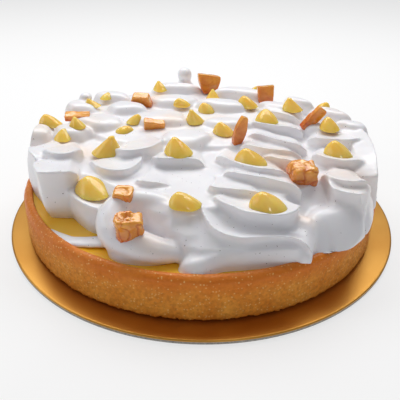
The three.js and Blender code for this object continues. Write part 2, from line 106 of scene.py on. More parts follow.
add_panel("panel_over", (0.0, 0.42, 0.72), 1.0, 0.5, 6.7)
add_panel("panel_left", (-0.7, 0.0, 0.45), 0.4, 0.4, 1.0)
add_panel("panel_window", (0.12, -0.42, 0.62), 0.06, 0.05, 0.25)
room = bpy.data.worlds.new("pale_room")
bpy.context.scene.world = room
room.use_nodes = True
background = room.node_tree.nodes["Background"]
background.inputs["Color"].default_value = (0.96, 0.97, 1, 1)
background.inputs["Strength"].default_value = 0.25


# Floor: a plain pale table top, large enough to fill every view. It glows a little, so
# that it stays nearly white right up to its far edge.
def new_material(name):
    """Empty node material with one Principled shader on its output."""
    material = bpy.data.materials.new(name)
    material.use_nodes = True
    tree = material.node_tree
    tree.nodes.clear()
    output = tree.nodes.new("ShaderNodeOutputMaterial")
    shader = tree.nodes.new("ShaderNodeBsdfPrincipled")
    tree.links.new(shader.outputs["BSDF"], output.inputs["Surface"])
    return material, tree, shader


def set_inputs(node, values):
    """Give a node's sockets their plain values."""
    for socket, value in values.items():
        node.inputs[socket].default_value = value


deselect()
bpy.ops.mesh.primitive_plane_add(size=40, location=(0, 0, -0.0002))
floor = bpy.context.object
floor.name = "floor"
floor_paint, tree, shader = new_material("floor_paint")
set_inputs(shader, {
    "Base Color": srgb(146, 146, 146),
    "Roughness": 0.9,
    "Specular IOR Level": 0.1,
    "Emission Color": (1, 1, 1, 1),
    "Emission Strength": 0.66,
})
floor.data.materials.append(floor_paint)


# Cake board: a 260 mm disc of pressed grey card, 3 mm thick. Its top is faced with
# gold foil that turns down over the upper edge and mirrors the crust.
# Sizes from here on are in millimetres, and MM turns them to metres.
MM = 0.001
BOARD_RADIUS = 130
BOARD_TOP = 3


def add_piece(name, points, faces, edges=()):
    """New piece from its points in metres."""
    mesh = bpy.data.meshes.new(name)
    mesh.from_pydata(points, edges, faces)
    piece = bpy.data.objects.new(name, mesh)
    bpy.context.scene.collection.objects.link(piece)
    return piece


def select_only(piece):
    deselect()
    piece.select_set(True)
    bpy.context.view_layer.objects.active = piece


def paint(piece, material):
    piece.data.materials.clear()
    piece.data.materials.append(material)


def shade(piece, angle=None):
    """Smooth shading, with an edge kept wherever it is sharper than the angle."""
    select_only(piece)
    if angle is None:
        bpy.ops.object.shade_smooth()
    else:
        bpy.ops.object.shade_smooth_by_angle(angle=math.radians(angle))


def wheel(name, outline, steps, middle=(0, 0)):
    """Closed turned piece: an outline of (radius, height) in mm, ends on the axis."""
    points = [(radius * MM, 0, height * MM) for radius, height in outline]
    piece = add_piece(name, points, [], [(k, k + 1) for k in range(len(points) - 1)])
    select_only(piece)
    screw = piece.modifiers.new("turn", "SCREW")
    screw.steps = steps
    screw.render_steps = steps
    screw.use_merge_vertices = True
    screw.merge_threshold = 1e-6
    bpy.ops.object.modifier_apply(modifier=screw.name)
    bpy.ops.object.mode_set(mode="EDIT")
    bpy.ops.mesh.select_all(action="SELECT")
    bpy.ops.mesh.remove_doubles(threshold=1e-6)
    bpy.ops.mesh.normals_make_consistent(inside=False)
    bpy.ops.mesh.select_all(action="DESELECT")
    bpy.ops.object.mode_set(mode="OBJECT")
    for vertex in piece.data.vertices:
        vertex.co.x += middle[0] * MM
        vertex.co.y += middle[1] * MM
    return piece


def feed(tree, socket, source):
    """Link a socket to another node's output, or give it a plain value."""
    if isinstance(source, bpy.types.NodeSocket):
        tree.links.new(source, socket)
    else:
        socket.default_value = source


def noise_on(tree, scale, detail, roughness=0.5):
    """Noise on the Object coordinates of a piece."""
    coords = tree.nodes.new("ShaderNodeTexCoord")
    texture = tree.nodes.new("ShaderNodeTexNoise")
    set_inputs(texture, {"Scale": scale, "Detail": detail, "Roughness": roughness})
    tree.links.new(coords.outputs["Object"], texture.inputs["Vector"])
    return texture.outputs["Fac"]


def two_tones(tree, driver, low, dark, high, light):
    """Colour that runs from a dark to a light one as its driver goes from low to high."""
    ramp = tree.nodes.new("ShaderNodeValToRGB")
    for stop, place, tone in zip(ramp.color_ramp.elements, (low, high), (dark, light)):
        stop.position = place
        stop.color = tone
    tree.links.new(driver, ramp.inputs["Fac"])
    return ramp.outputs["Color"]


def remap(tree, driver, low, high, at_low, at_high):
    """Value that runs between two ends as its driver goes from low to high."""
    scale = tree.nodes.new("ShaderNodeMapRange")
    set_inputs(scale, {"From Min": low, "From Max": high, "To Min": at_low, "To Max": at_high})
    tree.links.new(driver, scale.inputs["Value"])
    return scale.outputs["Result"]


def add_relief(tree, shader, driver, strength, depth):
    """Fine relief in the surface; its depth is in metres."""
    bump = tree.nodes.new("ShaderNodeBump")
    set_inputs(bump, {"Strength": strength, "Distance": depth})
    tree.links.new(driver, bump.inputs["Height"])
    tree.links.new(bump.outputs["Normal"], shader.inputs["Normal"])


card = wheel("board_card", [
    (0, 0), (60, 0), (129.2, 0), (129.9, 0.4), (BOARD_RADIUS, 1.0), (BOARD_RADIUS, 2.1),
    (BOARD_RADIUS - 0.2, 2.3), (BOARD_RADIUS - 0.6, 2.5), (0, 2.5),
], 180)
shade(card, 40)
card_paint, tree, shader = new_material("grey_card")
fibre = noise_on(tree, 900, 4)
greys = two_tones(tree, fibre, 0.3, srgb(128, 124, 118), 0.7, srgb(176, 170, 160))
tree.links.new(greys, shader.inputs["Base Color"])
add_relief(tree, shader, fibre, 0.3, 0.2 * MM)
shader.inputs["Roughness"].default_value = 0.8
paint(card, card_paint)
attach(card, "root")

foil_outline = [(0, 2.5), (129.4, 2.5), (BOARD_RADIUS - 0.1, 2.35), (BOARD_RADIUS + 0.1, 2.1)]
foil_outline += [(BOARD_RADIUS + 0.15, 2.3), (BOARD_RADIUS + 0.05, 2.75)]
foil_outline += [(BOARD_RADIUS - 0.35, BOARD_TOP - 0.02), (BOARD_RADIUS - 1, BOARD_TOP)]
foil_outline += [(radius, BOARD_TOP) for radius in range(126, 0, -6)] + [(0, BOARD_TOP)]
foil = wheel("board_foil", foil_outline, 180)
shade(foil, 50)
foil_gold, tree, shader = new_material("gold_foil")
wave = noise_on(tree, 28, 2)
golds = two_tones(tree, wave, 0.35, srgb(188, 134, 58), 0.65, srgb(198, 146, 68))
tree.links.new(golds, shader.inputs["Base Color"])
grain = noise_on(tree, 1400, 3)
tree.links.new(remap(tree, grain, 0, 1, 0.34, 0.4), shader.inputs["Roughness"])
add_relief(tree, shader, grain, 0.08, 0.03 * MM)
shader.inputs["Metallic"].default_value = 0.9
paint(foil, foil_gold)
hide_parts("cake_board")
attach(foil, "root")


# Crust: one cup of sweet shortcrust, baked in a ring. The wall is straight and grainy
# with sugar, browned under a smooth rim, and its foot is crumbled where it was cut.
CRUST_MIDDLE = (-1.4, 0)
CRUST_RADIUS = 117
CRUST_BOTTOM = 3.3
RIM_TOP = 31.3
INNER_RADIUS = 111.4

crust_outline = [(0, CRUST_BOTTOM), (70, CRUST_BOTTOM), (100, CRUST_BOTTOM), (113, CRUST_BOTTOM)]
crust_outline += [(115.4, 3.5), (116.4, 4.0), (116.8, 4.8)]
crust_outline += [(CRUST_RADIUS, 5.6 + 0.75 * k) for k in range(30)]
crust_outline += [(116.9, 28.1), (116.6, 28.9), (116.1, 29.7), (115.4, 30.4), (114.6, 30.9)]
crust_outline += [(113.7, 31.2), (112.8, 31.25), (112.0, 31.0), (111.5, 30.4), (INNER_RADIUS, 29.6)]
crust_outline += [(INNER_RADIUS, 28.0), (INNER_RADIUS, 20), (INNER_RADIUS, 7.8), (0, 7.8)]
crust = wheel("crust_baked", crust_outline, 1400)
# Hairline cracks in the outer wall: degrees round the cup, height, length.
draw = random.Random(4)
CRACKS = [(259, 20, 12), (276.5, 17.5, 6), (280, 9.5, 9)]
CRACKS += [(draw.uniform(0, 360), draw.uniform(8, 22), draw.uniform(5, 12)) for _ in range(16)]
CRACK_DEPTH = 0.7
CRACK_HALF_WIDTH = 0.6
# How far the wall's grain, its slow bumps and its pits depart from a true cylinder.
GRAIN = 0.42
BUMPS = 0.4
PITS = 0.9
# The same for the smoother rim, how far that waves up and down, and where it starts.
RIM_GRAIN = 0.12
RIM_BUMPS = 0.3
RIM_WAVE = 0.3
RIM_STARTS = 28
# The ragged foot: its height, how deep it is frayed, and the furthest that a crumb sticks out.
FOOT_HEIGHT = 3.5
FRAYED = 1.2
MOST_OUT = 0.9
for vertex in crust.data.vertices:
    x, y, z = vertex.co / MM
    radius = math.hypot(x, y)
    if radius < INNER_RADIUS - 1.4:
        continue
    spot = Vector((x, y, z))
    outside = radius > INNER_RADIUS + 1.5
    wall = outside and z < RIM_STARTS
    grain = 0.5 * noise.noise(spot * 0.75) + 0.5 * noise.noise(spot * 1.3)
    bumps = noise.noise(spot * 0.16 + Vector((7, 3, 1)))
    push = 0.0
    if wall:
        push = GRAIN * grain + BUMPS * bumps
        push -= PITS * max(0.0, noise.noise(spot * 0.55 + Vector((0, 9, 2))) - 0.3)
        angle = math.degrees(math.atan2(y, x)) % 360
        for around, high, length in CRACKS:
            aside = math.radians((angle - around + 180) % 360 - 180) * CRUST_RADIUS
            stray = 0.12 * aside + 1.1 * noise.noise(Vector((aside * 0.45, high, around)))
            off = abs(z - high - stray)
            if abs(aside) < length / 2 and off < CRACK_HALF_WIDTH:
                deep = (1 - off / CRACK_HALF_WIDTH) * (1 - (2 * aside / length) ** 2)
                push -= CRACK_DEPTH * deep
        foot = max(0.0, 1 - (z - CRUST_BOTTOM) / FOOT_HEIGHT)
        ragged = 0.5 * noise.noise(spot * 0.33 + Vector((0, 0, 40))) + noise.noise(spot * 0.8)
        push += foot * (FRAYED * ragged - 0.3)
        push = min(push, MOST_OUT)
    elif outside:
        push = RIM_GRAIN * grain + RIM_BUMPS * bumps
    scale = 1 + push / radius
    lift = 0.0
    if z > RIM_STARTS:
        lift = RIM_WAVE * noise.noise(Vector((x * 0.07, y * 0.07, 5))) + 0.1 * noise.noise(spot * 0.6)
    moved = Vector((x * scale + CRUST_MIDDLE[0], y * scale + CRUST_MIDDLE[1], z + lift))
    vertex.co = moved * MM
shade(crust)


def combine(tree, operation, *terms):
    """Result of one sum on sockets or plain numbers."""
    node = tree.nodes.new("ShaderNodeMath")
    node.operation = operation
    for socket, term in zip(node.inputs, terms):
        feed(tree, socket, term)
    return node.outputs["Value"]


def mix_colours(tree, share, first, second, blend="MIX"):
    """Two colours mixed by a share, each a socket or a plain value."""
    mix = tree.nodes.new("ShaderNodeMix")
    mix.data_type = "RGBA"
    mix.blend_type = blend
    for socket, source in (("Factor", share), ("A", first), ("B", second)):
        feed(tree, mix.inputs[socket], source)
    return mix.outputs["Result"]


crust_bake, tree, shader = new_material("baked_shortcrust")
coords = tree.nodes.new("ShaderNodeTexCoord")
split = tree.nodes.new("ShaderNodeSeparateXYZ")
tree.links.new(coords.outputs["Object"], split.inputs["Vector"])
blotch = noise_on(tree, 60, 6, 0.6)
dough = two_tones(tree, blotch, 0.3, srgb(224, 131, 28), 0.72, srgb(248, 172, 68))
sand = noise_on(tree, 520, 3)
sandy = two_tones(tree, sand, 0.32, (0.66, 0.56, 0.42, 1), 0.62, (1, 1, 1, 1))
grained = mix_colours(tree, 0.75, dough, sandy, "MULTIPLY")
# The wall is browned under its rim: share of its height, how brown it is there.
BROWNED = [(0.0, 0.25), (0.16, 0.0), (0.55, 0.05), (0.76, 0.5), (0.9, 0.75), (0.97, 0.7), (1.0, 0.6)]
low, high = [(value, value, value, 1) for value in (BROWNED[0][1], BROWNED[-1][1])]
level = remap(tree, split.outputs["Z"], CRUST_BOTTOM * MM, 31.5 * MM, 0, 1)
band = two_tones(tree, level, BROWNED[0][0], low, BROWNED[-1][0], high)
for share, value in BROWNED[1:-1]:
    band.node.color_ramp.elements.new(share).color = (value, value, value, 1)
brown = mix_colours(tree, band, grained, srgb(222, 116, 26))
# Sugar grains that didn't melt: a small dot in about four in ten cells of a fine net.
cells = tree.nodes.new("ShaderNodeTexVoronoi")
cells.inputs["Scale"].default_value = 620
tree.links.new(coords.outputs["Object"], cells.inputs["Vector"])
pick = tree.nodes.new("ShaderNodeSeparateColor")
tree.links.new(cells.outputs["Color"], pick.inputs["Color"])
dots = remap(tree, cells.outputs["Distance"], 0.18, 0.34, 1, 0)
chosen = combine(tree, "GREATER_THAN", pick.outputs["Red"], 0.62)
sugar = combine(tree, "MULTIPLY", combine(tree, "MULTIPLY", dots, chosen), 0.7)
speckled = mix_colours(tree, sugar, brown, srgb(250, 206, 130))
tree.links.new(speckled, shader.inputs["Base Color"])
add_relief(tree, shader, noise_on(tree, 800, 6), 0.8, 0.6 * MM)
gloss = remap(tree, split.outputs["Z"], 27 * MM, 30 * MM, 0.62, 0.34)
tree.links.new(gloss, shader.inputs["Roughness"])
shader.inputs["Specular IOR Level"].default_value = 0.3
paint(crust, crust_bake)
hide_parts("crust")
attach(crust, "root")


# Lemon filling: set curd poured level into the cup, with a thin edge drawn up the
# crust's wall, smooth and glossy where it shows beside the meringue.
filling = wheel("filling_set", [
    (0, 8.1), (111.2, 8.1), (111.2, 20), (111.2, 29.4), (110.6, 29.1), (109.6, 28.85),
    (107.5, 28.7), (100, 28.65), (85, 28.6), (60, 28.6), (0, 28.6),
], 240, CRUST_MIDDLE)
# How far the level top of the curd sways up and down.
SWAY = 0.25
for vertex in filling.data.vertices:
    if vertex.co.z > 28 * MM:
        x, y, z = vertex.co / MM
        vertex.co.z += SWAY * MM * noise.noise(Vector((x * 0.08, y * 0.08, 0)))
shade(filling, 50)
filling_curd, tree, shader = new_material("set_lemon_filling")
cloud = noise_on(tree, 45, 3)
yellows = two_tones(tree, cloud, 0.35, srgb(255, 190, 48), 0.7, srgb(255, 200, 72))
tree.links.new(yellows, shader.inputs["Base Color"])
add_relief(tree, shader, cloud, 0.2, 0.4 * MM)
set_inputs(shader, {
    "Roughness": 0.2,
    "Subsurface Weight": 0.3,
    "Subsurface Radius": (1.0, 0.6, 0.15),
    "Subsurface Scale": 0.005,
})
paint(filling, filling_curd)
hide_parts("lemon_filling")
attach(filling, "root")


# Meringue: raw whipped meringue put on in overlapping strokes with a palette knife,
# each a tongue with a crisp lip towards the front and a hollowed face under the lip.
PIPED_FROM = 26.5
CORE_RADIUS = 112
# Where the core is drawn in behind the loop and behind the long front strokes: middle and
# half width in degrees; then its height, share of its radius, depth of the two notches.
LOOP_NOTCH = (236, 30)
FRONT_NOTCH = (292, 48)
CORE = [
    (PIPED_FROM, 1, 26, 8), (40, 1, 26, 8), (44, 0.99, 26, 15), (49, 0.97, 26, 24),
    (53, 0.88, 22, 18), (53, 0.5, 0, 0),
]
STROKE_POINTS = 56
# How far a lip falls at both its ends, and over what share of its first and last step.
END_FALL = 3
END_SHARE = 0.8
# How much a stroke's back turns away from its lip, and the shares of the face's height and
# of the back's length at which a section of the stroke is set out.
BACK_TURN = 0.7
FACE_SHARES = (1, 0.85, 0.68, 0.5, 0.34, 0.2, 0.1, 0.045)
BACK_SHARES = (0.04, 0.1, 0.2, 0.35, 0.55, 0.78, 1)
# Share of a mound's half widths, drop below its top.
MOUND_PROFILE = [
    (0.85, 15), (1.05, 12.5), (1.12, 9), (1.05, 6), (0.97, 4), (0.87, 2.3), (0.74, 1.1),
    (0.58, 0.4), (0.4, 0.1), (0.2, 0),
]

# Soft mounds of the middle and the back, where the strokes were patted down: middle x,
# middle y, height, half length, half depth, turn in degrees.
MOUNDS = [
    (-88, 5, 61.5, 13, 10, -8), (-112, 5, 61, 10, 12, -40), (-72, 21, 62.5, 18, 13, -12),
    (-92, 48, 63, 14, 9, -28), (-57, 46, 63.5, 15, 11, -10), (-31, 28, 63, 21, 15, 0),
    (-24, 62, 64, 20, 11, -4), (-23, 89, 65.5, 19, 8, 2), (30, 79, 65.5, 22, 9, -8),
    (14, 53, 64.5, 19, 9, -10), (17, 20, 62.5, 19, 9, -8), (-71, 70, 63.5, 15, 8, -16),
    (57, 51, 63.5, 17, 8, -28), (72, 62, 64, 12, 6, -32), (92, 40, 63.5, 15, 8, -22),
    (103, 18, 62.5, 12, 7, -20), (-11, -4, 62, 17, 14, 15), (81, 14, 62, 14, 8, -18),
]
# The crisper strokes: where the stroke was dragged to in degrees, its length, the fall of
# its back, how its face runs to the foot (1 straight, more hollow, less bulging), the
# dish behind the lip, then x, y, height and outward spread of the foot along the lip
# from left to right.
CRESTS = [
    (80, 24, 0.16, 3, 0.9, 1.2, [  # left edge, over the rim
        (-99, -41, 60, -2), (-98, -51, 61, -4), (-95, -58, 61.5, -6), (-92, -62, 61.5, -6),
        (-85, -62, 61.5, -5), (-77, -61, 61.5, -4), (-71, -56, 60, -3),
    ]),
    (85, 22, 0.18, 0.8, 0.4, 0, [  # left, behind it
        (-99, -28, 61, 4), (-93, -36, 62, 4), (-85, -40, 62.5, 4), (-78, -37, 62.5, 4),
        (-74, -27, 62, 4),
    ]),
    (50, 22, 0.12, 2, 0.9, 1, [  # far left edge
        (-113, -22, 60.5, 0), (-107, -31, 60.5, 0), (-103, -36, 60, 0), (-99, -41, 59, 0),
    ]),
    (50, 26, 0.1, 2, 0.9, 1, [  # left front, low
        (-82, -46, 50, -2), (-80, -56, 49, -3), (-73, -66, 48.5, -3), (-64, -74, 48, -2),
        (-57, -77, 47.5, -2), (-52, -78, 47, -2),
    ]),
    (92, 24, 0.16, 1.3, 0.9, 1.4, [  # left front
        (-69, -34, 57.5, 3), (-63, -46, 58.5, 3), (-55, -52, 59, 3), (-47, -53, 59, 3),
        (-41, -49, 59, 3), (-37, -39, 58.5, 3), (-37, -27, 58, 3),
    ]),
    (95, 24, 0.2, 0.9, 0.5, 0.6, [  # left front, behind it
        (-56, -25, 61, 4), (-49, -32, 62, 4), (-41, -31, 62, 4), (-33, -27, 62, 4),
        (-27, -18, 61.5, 4), (-25, -7, 61, 4),
    ]),
    (90, 26, 0.12, 1.3, 0.9, 1, [  # front, left of the middle
        (-39, -58, 56, 3), (-35, -62, 57, 3), (-29, -63, 57, 5), (-22, -62, 55.5, 9),
        (-15, -61, 53, 12),
    ]),
    (95, 24, 0.2, 1.3, 0.6, 0.6, [  # behind it
        (-32, -32, 59, 3), (-28, -38, 60, 3), (-21, -39, 60.5, 3), (-12, -38, 60.5, 4),
        (-4, -38, 59.5, 6), (2, -38, 57, 8),
    ]),
    (75, 22, -0.04, 1.2, 2.4, 3.2, [  # front, the long one over the rim
        (1, -79, 55, 12), (0, -85, 53.5, 15), (3, -93, 51, 17), (7, -98, 49, 12), (14, -101, 47.5, 6),
        (22, -102, 47, 4), (31, -101, 47, 3), (40, -100, 46.7, 2), (48, -100, 45.5, 1),
        (52, -102, 44.5, 0), (56, -104, 42, -3),
    ]),
    (95, 15, -0.55, 0.7, 1.2, 0, [  # front, its lower fold
        (-11, -104, 33, 3), (-7, -108, 35, 4), (-1, -109, 36.5, 4.5), (6, -106, 38, 4),
        (13, -104, 38.5, 3.5), (23, -103, 39, 3), (35, -102, 39.5, 2), (47, -101, 39.5, 1),
        (55, -99, 37, 0),
    ]),
    (100, 24, 0.12, 1.4, 0.9, 2, [  # front, the second row
        (5, -75, 57, 2), (9, -82, 57, 3), (14, -86, 56.5, 3), (22, -91, 56, 3), (32, -94, 56, 3.5),
        (41, -94, 56, 4), (49, -89, 56, 5), (53, -81, 56, 4),
    ]),
    (105, 22, 0.22, 1.4, 0.8, 1.4, [  # front, the third row
        (3, -67, 59, 4), (6, -71, 59, 4), (16, -73, 59, 4), (26, -74, 58.5, 4), (35, -75, 57, 4),
    ]),
    (105, 22, 0.24, 1.4, 0.8, 1.4, [  # front, the fourth row
        (12, -52, 60, 4), (20, -57, 60.5, 4), (29, -60, 60.5, 4), (39, -63, 60, 4), (47, -66, 59.5, 4),
        (55, -70, 58.5, 4),
    ]),
    (105, 22, 0.24, 1.4, 0.8, 1.4, [  # front, the fifth row
        (8, -30, 60, 4), (14, -39, 61, 4), (22, -47, 61.5, 4), (31, -52, 61.5, 4), (41, -53, 61, 4),
        (51, -54, 59.5, 4),
    ]),
    (105, 20, 0.24, 1.4, 0.8, 1.4, [  # middle, right
        (36, -32, 61, 4), (44, -38, 61.5, 4), (53, -42, 61.5, 4), (61, -45, 60, 4),
    ]),
    (105, 20, 0.24, 1.4, 0.8, 1.4, [  # middle
        (24, -16, 61.5, 4), (32, -23, 62, 4), (41, -27, 62, 4), (51, -29, 62, 4), (61, -30, 60.5, 4),
    ]),
    (105, 20, 0.24, 1.4, 0.8, 1.4, [  # middle, behind it
        (30, 0, 62, 4), (38, -6, 62.5, 4), (47, -13, 62.5, 4), (57, -17, 62, 4), (66, -21, 60.5, 4),
    ]),
    (100, 22, 0.24, 1.4, 0.8, 1.4, [  # back of the middle
        (30, 21, 62, 4), (37, 14, 63, 4), (48, 10, 63, 4), (59, 8, 62.5, 4), (68, 6, 61.5, 4),
    ]),
    (100, 22, 0.22, 1.2, 0.6, 1, [  # back, right
        (40, 43, 63, 4), (48, 36, 63.5, 4), (58, 30, 63.5, 4), (69, 25, 62, 4),
    ]),
    (110, 20, 0.3, 0.6, 0, 0, [  # right front, over the rim
        (54, -83, 41, 9), (59, -81, 45, 15.5), (64, -77, 47, 18.5), (71, -74, 48, 20),
        (78, -71, 48.5, 19), (84, -68, 49, 17), (89, -66, 49.5, 12), (92, -66, 49.5, 8),
        (98, -55, 49.5, 6),
    ]),
    (80, 20, 0.1, 1.6, 0.9, 2, [  # right front
        (70, -51, 57, 3), (71, -59, 57.5, 4), (72, -67, 57.5, 4), (76, -70, 57, 4), (81, -72, 57, 3),
        (86, -73, 56.5, 2), (89, -76, 55, 1),
    ]),
    (90, 22, 0.18, 1.4, 0.8, 1.4, [  # right front, behind it
        (69, -51, 59, 4), (73, -59, 59.5, 4), (79, -63, 60, 4), (85, -64, 60, 4), (94, -60, 60, 4),
    ]),
    (95, 22, 0.18, 1.4, 0.8, 1.4, [  # right
        (68, -26, 60, 4), (72, -34, 61, 4), (79, -38, 61, 4), (88, -40, 61, 4), (99, -34, 60.5, 4),
    ]),
    (95, 20, 0.22, 1.4, 0.8, 1.4, [  # right, behind it
        (69, -3, 61, 4), (75, -9, 62, 4), (85, -10, 62, 4), (96, -10, 62, 4), (107, -4, 61.5, 4),
    ]),
    (180, 13, 0.15, 1, 0.3, 0, [  # right edge
        (104, -46, 57, 3), (107.5, -25, 60, 2), (109.5, -5, 60.5, 2), (108.5, 14, 60, 2),
        (104, 32, 58, 2),
    ]),
]
# The bed under the mounds of the back.
BACK_BED = [
    (PIPED_FROM, -8, 42, 84, 60), (50, -8, 42, 84, 60), (56, -8, 42, 78, 54),
    (57.5, -8, 42, 60, 40),
]
# The loop at the front left: a low bed and a stroke curled round it.
LOOP_BED = [
    (PIPED_FROM, -31, -88, 19, 15), (31, -31, -88, 20, 15), (34, -31, -87, 18, 12),
    (35.5, -31, -86, 14, 9),
]
LOOP_STROKE = [
    (-8, -97, 32, 4), (-18, -98, 34, 6.5), (-27, -97, 35, 8), (-36, -94, 36, 9), (-46, -88, 38, 9),
    (-49, -80.5, 42.5, 8.5), (-45, -73, 46.5, 7.5), (-35, -70.5, 48.8, 6.5), (-24, -73.5, 48.8, 6),
    (-14, -79, 46.5, 5.5), (-4, -85, 40, 5),
]
# A thin smear left on the filling: x, y, z, half width along it.
SMEAR = [(-87, -71, 29.4, 1.2), (-78, -79.5, 29.6, 3.2), (-69, -84, 29.7, 4.4), (-47, -84, 30.5, 6)]
# Small peaks pulled up behind and at the left: x, y, foot, radius, height.
PEAKS = [(-16, 101, 60, 6, 14.5), (-89, 57, 58, 5, 9)]
# A peak's outline from its foot to its knob: share of its radius, share of its height.
PEAK_PROFILE = [
    (1.3, 0), (0.85, 0.2), (0.8, 0.32), (0.95, 0.48), (1, 0.62), (0.9, 0.8), (0.62, 0.93), (0.25, 1),
]
PEAK_POINTS = 16
CORE_POINTS = 72
# The outer wall that the strokes are smoothed to: height, radius.
WALL = [(29, 113.5), (36, 115.5), (48, 115.2), (60, 112), (80, 104)]
# Where it hangs out over the rim: middle and half width in degrees, how far, the height
# where that starts and the height it takes to get there.
OVERHANG = (-47, 16, 6, 50, 18)
# The wall's lobes grow towards the back by this share.
DEEPER_BEHIND = 1.5

shell_points = []
shell_faces = []


def add_shell(rings):
    """Closed skin over a stack of rings that run from the foot to the middle of the top."""
    count = len(rings[0])
    first = len(shell_points)
    for ring in rings:
        shell_points.extend(ring)
    for end, order in ((0, -1), (len(rings) - 1, 1)):
        ring = rings[end]
        middle = [sum(point[axis] for point in ring) / count for axis in range(3)]
        hub = len(shell_points)
        shell_points.append(middle)
        base = first + end * count
        for k in range(count):
            pair = (base + k, base + (k + 1) % count)
            shell_faces.append((hub, *pair[::order]))
    for row in range(len(rings) - 1):
        base = first + row * count
        for k in range(count):
            after = (k + 1) % count
            shell_faces.append((base + k, base + after, base + count + after, base + count + k))


def outline_point(k, half, reach, back):
    """Point k of a rounded outline that reaches further to the front than to the back."""
    angle = k / STROKE_POINTS * math.tau
    depth = reach if math.sin(angle) < 0 else back
    u = half * math.copysign(abs(math.cos(angle)) ** 0.8, math.cos(angle))
    v = depth * math.copysign(abs(math.sin(angle)) ** 0.8, math.sin(angle))
    return u, v


def along(points, t):
    """Point of a smooth line through the given ones; t runs from 0 to the last index."""
    ends = [2 * points[0] - points[1], *points, 2 * points[-1] - points[-2]]
    span = min(max(int(t), 0), len(points) - 2)
    f = t - span
    a, b, c, d = ends[span:span + 4]
    return 0.5 * (2 * b + (c - a) * f + (2 * a - 5 * b + 4 * c - d) * f * f
                  + (3 * b - a - 3 * c + d) * f ** 3)


def add_crest(drag, back, slope, bend, dish, hollow, line):
    """A stroke by the line of its lip: a dished back behind it and a face running down
    from it to the foot, rounded off at both ends."""
    points = [np.array(point, float) for point in line]
    dragged = Vector((math.cos(math.radians(drag)), math.sin(math.radians(drag)), 0))
    steps = 8 * (len(points) - 1)
    rings = []
    for i in range(steps + 1):
        t = i / steps * (len(points) - 1)
        x, y, z, spread = along(points, t)
        tangent = along(points, t + 0.05) - along(points, t - 0.05)
        out = Vector((tangent[1], -tangent[0], 0)).normalized()
        behind = (dragged - out * BACK_TURN).normalized()
        end = max(1 - t / END_SHARE, 1 - (len(points) - 1 - t) / END_SHARE, 0)
        lip = Vector((x, y, z - END_FALL * end ** 2))
        tall = lip.z - PIPED_FROM
        ring = []
        for share in FACE_SHARES:
            reach = spread * share ** bend
            reach -= hollow * math.sin(math.pi * min(max(share - 0.05, 0) / 0.5, 1))
            ring.append(lip + out * reach - Vector((0, 0, tall * share)))
        ring.append(lip + out * 0.15 - Vector((0, 0, 0.4)))
        ring.append(lip)
        for share in BACK_SHARES:
            sink = slope * back * share + dish * math.sin(math.pi * min(share * 1.3, 1))
            ring.append(lip + behind * back * share - Vector((0, 0, sink)))
        foot = lip + behind * back
        ring.append(Vector((foot.x, foot.y, PIPED_FROM)))
        rings.append([tuple(point) for point in ring])
    rings.reverse()
    add_shell(rings)


def add_mound(x, y, top, half, depth, turn_degrees, seed):
    """A soft mound: a rounded cushion with a slightly lopsided top."""
    angle = math.radians(turn_degrees)
    rings = []
    for grow, drop in MOUND_PROFILE:
        ring = []
        for k in range(STROKE_POINTS):
            around = k / STROKE_POINTS * math.tau
            wave = 1 + 0.07 * math.sin(3 * around + 2 * seed) + 0.04 * math.sin(5 * around + seed)
            u = half * grow * wave * math.cos(around)
            v = depth * grow * wave * math.sin(around)
            px = x + u * math.cos(angle) - v * math.sin(angle)
            py = y + u * math.sin(angle) + v * math.cos(angle)
            tilt = 0.05 * v + 0.03 * u * math.sin(seed)
            ring.append((px, py, top - drop - tilt))
        rings.append(ring)
    add_shell(rings)


def add_lobe(rows, back):
    """A low bed of meringue: rows of height, middle x, middle y, half length, reach."""
    rings = []
    for z, x, y, half, reach in rows:
        corners = [outline_point(k, half, reach, back) for k in range(STROKE_POINTS)]
        rings.append([(x + u, y + v, z) for u, v in corners])
    add_shell(rings)


def add_rope(stations, sides, steps, flatness=1.0):
    """Rope of meringue along a smooth path of x, y, z, radius."""
    points = [np.array(station, float) for station in stations]
    rings = []
    for i in range(steps + 1):
        t = i / steps * (len(stations) - 1)
        here = along(points, t)
        ahead = Vector((along(points, t + 0.01) - along(points, t - 0.01))[:3]).normalized()
        side = Vector((-ahead.y, ahead.x, 0)).normalized()
        up = ahead.cross(side)
        ring = []
        for k in range(sides):
            angle = k / sides * math.tau
            point = Vector(here[:3]) + side * here[3] * math.cos(angle)
            point += up * here[3] * flatness * math.sin(angle)
            ring.append(tuple(point))
        rings.append(ring)
    add_shell(rings)


core_rings = []
for z, scale, loop_depth, front_depth in CORE:
    ring = []
    for k in range(CORE_POINTS):
        angle = k / CORE_POINTS * math.tau
        degrees = math.degrees(angle)
        loop = loop_depth * math.exp(-((degrees - LOOP_NOTCH[0]) / LOOP_NOTCH[1]) ** 4)
        front = front_depth * math.exp(-((degrees - FRONT_NOTCH[0]) / FRONT_NOTCH[1]) ** 4)
        radius = scale * (CORE_RADIUS - max(loop, front))
        ring.append((radius * math.cos(angle), radius * math.sin(angle), z))
    core_rings.append(ring)
add_shell(core_rings)
add_lobe(BACK_BED, 54)
for number, row in enumerate(MOUNDS):
    add_mound(*row, number)
for row in CRESTS:
    add_crest(*row)
add_lobe(LOOP_BED, 10)
add_rope(LOOP_STROKE, 28, 60)
add_rope(SMEAR, 20, 24, 0.35)
for x, y, foot, radius, height in PEAKS:
    rings = []
    for share, rise in PEAK_PROFILE:
        ring = []
        for k in range(PEAK_POINTS):
            angle = k / PEAK_POINTS * math.tau
            reach = radius * share
            out = (reach * math.cos(angle), reach * math.sin(angle))
            ring.append((x + out[0], y + out[1], foot + height * rise))
        rings.append(ring)
    add_shell(rings)

